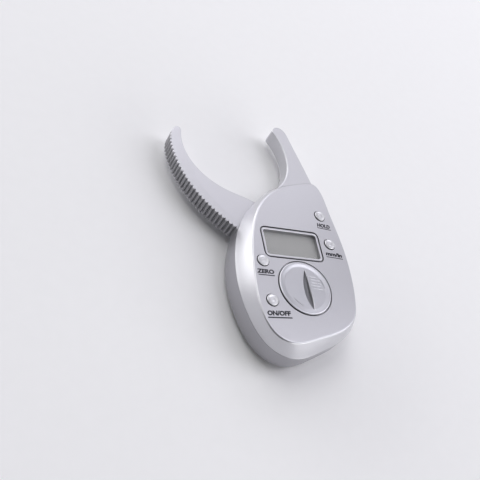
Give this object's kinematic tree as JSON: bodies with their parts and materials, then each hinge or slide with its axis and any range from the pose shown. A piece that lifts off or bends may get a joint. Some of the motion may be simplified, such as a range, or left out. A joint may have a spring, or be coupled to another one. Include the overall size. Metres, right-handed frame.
{
  "type": "skinfold caliper",
  "caption": "Hand-held skinfold caliper: flat rounded case with a display, push buttons and coin-slot battery cover, a hooked fixed jaw and a sprung jaw with a ribbed thumb edge.",
  "frame": {"origin": "point of the flat back cover under the battery cover, on the plane the caliper lies on", "axes": "+Z out of the face with the display, +Y towards the jaws, +X to the right of a reader; lying on its back"},
  "size_m": [0.0828, 0.1342, 0.0205],
  "materials": {
    "silver_shell": "satin silver paint with fine metallic grain over moulded ABS",
    "silver_jaw": "satin silver paint over moulded plastic",
    "silver_button": "smooth bright silver",
    "steel": "plain bright steel",
    "spring_steel": "drawn wire",
    "nylon": "plain moulded nylon",
    "circuit_board": "green solder mask",
    "copper_plate": "plated strip",
    "lcd_panel": "grey reflective liquid crystal panel, switched off",
    "clear_window": "clear polished plastic window",
    "black_rubber": "black silicone",
    "black_resin": "black moulded resin"
  },
  "bodies": {
    "case": {"front_cover": "silver_shell", "rear_cover": "silver_shell", "fixed_jaw": "silver_jaw", "pivot_screw": "steel", "pivot_washer": "nylon", "torsion_spring": "spring_steel", "circuit_board": "circuit_board", "board_screw_1": "steel", "board_screw_2": "steel", "board_screw_3": "steel", "lcd_glass": "lcd_panel", "lcd_connector_lower": "black_rubber", "lcd_connector_upper": "black_rubber", "display_window": "clear_window", "controller_chip": "black_resin", "clock_crystal": "steel", "switch_zero": "black_resin", "switch_on_off": "black_resin", "switch_hold": "black_resin", "switch_mm_in": "black_resin", "coin_cell": "steel", "battery_contact_negative": "copper_plate", "battery_contact_positive": "copper_plate", "battery_cover_seal": "black_rubber", "case_screw_1": "steel", "case_screw_2": "steel", "case_screw_3": "steel", "case_screw_4": "steel", "case_screw_5": "steel"},
    "swing_jaw": {"moving_jaw": "silver_jaw", "rotor_plate": "copper_plate"},
    "battery_lid": {"battery_cover": "silver_shell"},
    "key_zero": {"button_zero": "silver_button"},
    "key_on_off": {"button_on_off": "silver_button"},
    "key_hold": {"button_hold": "silver_button"},
    "key_mm_in": {"button_mm_in": "silver_button"}
  },
  "joints": [
    {"name": "jaw_pivot", "type": "hinge", "parent": "case", "child": "swing_jaw", "pos_m": [-0.004, 0.028, 0.0076], "axis": [0, 0, 1], "range_deg": [-43, 0], "stiffness_Nm_per_rad": 0.15, "springref_deg": 20.05, "deforming": ["torsion_spring"]},
    {"name": "battery_lid_turn", "type": "hinge", "parent": "case", "child": "battery_lid", "pos_m": [0, 0.0009, 0.0185], "axis": [0, 0, 1], "range_deg": [0, 45]},
    {"name": "press_zero", "type": "slide", "parent": "case", "child": "key_zero", "axis": [0, 0, 1], "range_m": [-0.0004, 0], "stiffness_N_per_m": 2500, "springref_m": 0.0001},
    {"name": "press_on_off", "type": "slide", "parent": "case", "child": "key_on_off", "axis": [0, 0, 1], "range_m": [-0.0004, 0], "stiffness_N_per_m": 2500, "springref_m": 0.0001},
    {"name": "press_hold", "type": "slide", "parent": "case", "child": "key_hold", "axis": [0, 0, 1], "range_m": [-0.0004, 0], "stiffness_N_per_m": 2500, "springref_m": 0.0001},
    {"name": "press_mm_in", "type": "slide", "parent": "case", "child": "key_mm_in", "axis": [0, 0, 1], "range_m": [-0.0004, 0], "stiffness_N_per_m": 2500, "springref_m": 0.0001}
  ]
}
